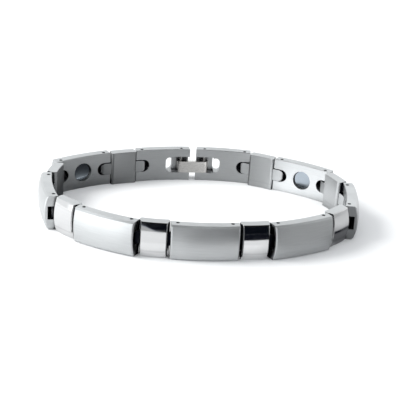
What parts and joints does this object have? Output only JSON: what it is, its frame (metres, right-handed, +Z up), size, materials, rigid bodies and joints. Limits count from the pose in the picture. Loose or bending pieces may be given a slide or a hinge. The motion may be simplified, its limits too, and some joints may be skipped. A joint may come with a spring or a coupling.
{
  "type": "titanium bracelet",
  "caption": "Closed bracelet of brushed long links and polished short links on hidden pins, with round magnets in the inner faces and a hinged blade clasp.",
  "frame": {"origin": "middle of the closed loop's outline, on the surface that it stands on", "axes": "+X along the loop's long way, +Y from the middle front link to the clasp at the back, +Z up across the height of the links"},
  "size_m": [0.0758, 0.0532, 0.0082],
  "materials": {
    "brushed_titanium": "brushed along the band",
    "polished_titanium": "mirror polished",
    "magnet": "polished dark plating",
    "pin": "plain",
    "blade": "satin"
  },
  "bodies": {
    "bracelet": {"long_link_1": "brushed_titanium", "long_link_2": "brushed_titanium", "long_link_3": "brushed_titanium", "long_link_4": "brushed_titanium", "long_link_5": "brushed_titanium", "long_link_6": "brushed_titanium", "long_link_7": "brushed_titanium", "short_link_1": "polished_titanium", "short_link_2": "polished_titanium", "short_link_3": "polished_titanium", "short_link_4": "polished_titanium", "short_link_5": "polished_titanium", "short_link_6": "polished_titanium", "short_link_7": "polished_titanium", "short_link_8": "polished_titanium", "magnet_1": "magnet", "magnet_2": "magnet", "magnet_3": "magnet", "magnet_4": "magnet", "magnet_5": "magnet", "magnet_6": "magnet", "magnet_7": "magnet", "link_pin_1": "pin", "link_pin_2": "pin", "link_pin_3": "pin", "link_pin_4": "pin", "link_pin_5": "pin", "link_pin_6": "pin", "link_pin_7": "pin", "link_pin_8": "pin", "link_pin_9": "pin", "link_pin_10": "pin", "link_pin_11": "pin", "link_pin_12": "pin", "link_pin_13": "pin", "link_pin_14": "pin", "link_pin_15": "pin", "link_pin_16": "pin", "clasp_link_left": "brushed_titanium", "clasp_link_right": "brushed_titanium", "clasp_hinge_pin": "pin", "clasp_catch_pin": "pin"},
    "clasp_lever": {"clasp_blade": "blade"}
  },
  "joints": [
    {"name": "clasp_blade_hinge", "type": "hinge", "parent": "bracelet", "child": "clasp_lever", "pos_m": [0.00092, 0.02404, 0.0041], "axis": [0, 0, 1], "range_deg": [0, 100]}
  ]
}
